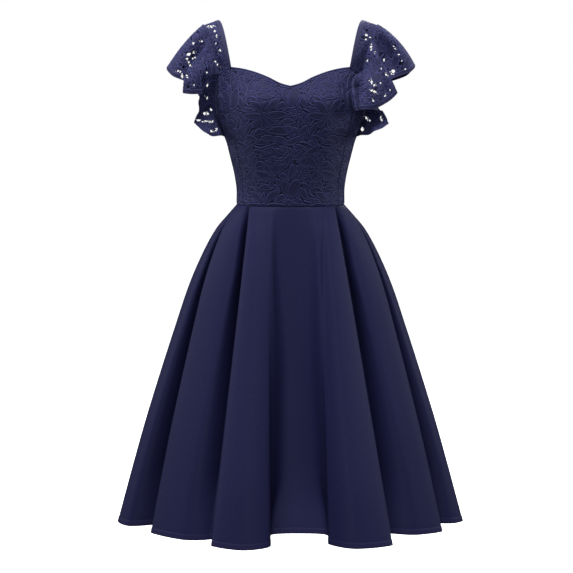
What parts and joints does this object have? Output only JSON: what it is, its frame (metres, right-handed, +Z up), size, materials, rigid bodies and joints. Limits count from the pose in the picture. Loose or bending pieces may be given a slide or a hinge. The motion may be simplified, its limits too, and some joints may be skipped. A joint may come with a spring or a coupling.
{
  "type": "cocktail dress",
  "caption": "Knee-length cocktail dress with a sweetheart lace bodice, lace flutter sleeves and a full pleated satin skirt, filled out as worn with no wearer.",
  "frame": {"origin": "midway between the tops of the two shoulder straps, where the wearer's shoulders hold the dress", "axes": "+Z up along the dress, the front faces -Y, +X is the right of the front view"},
  "size_m": [0.7224, 0.5415, 1.0425],
  "materials": {
    "navy_lace": "corded navy lace, on an opaque lining on the bodice and single on the straps and sleeves",
    "navy_satin": "smooth navy satin with a soft sheen",
    "navy_binding": "navy bias binding",
    "zip_tape": "woven navy zip tape",
    "zip_metal": "navy lacquered metal"
  },
  "bodies": {
    "dress": {"bodice_front": "navy_lace", "bodice_side_front_L": "navy_lace", "bodice_side_front_R": "navy_lace", "bodice_back_L": "navy_lace", "bodice_back_R": "navy_lace", "strap_L": "navy_lace", "strap_R": "navy_lace", "strap_binding_L": "navy_binding", "strap_binding_R": "navy_binding", "flounce_front_L": "navy_lace", "flounce_front_R": "navy_lace", "flounce_back_L": "navy_lace", "flounce_back_R": "navy_lace", "skirt_front": "navy_satin", "skirt_back_L": "navy_satin", "skirt_back_R": "navy_satin", "zip_tape": "zip_tape", "zip_slider": "zip_metal"},
    "pull_tab": {"zip_pull": "zip_metal"}
  },
  "joints": [
    {"name": "pull_hinge", "type": "hinge", "parent": "dress", "child": "pull_tab", "pos_m": [0, 0.10503, -0.172], "axis": [1, 0, 0], "range_deg": [0, 170]}
  ]
}
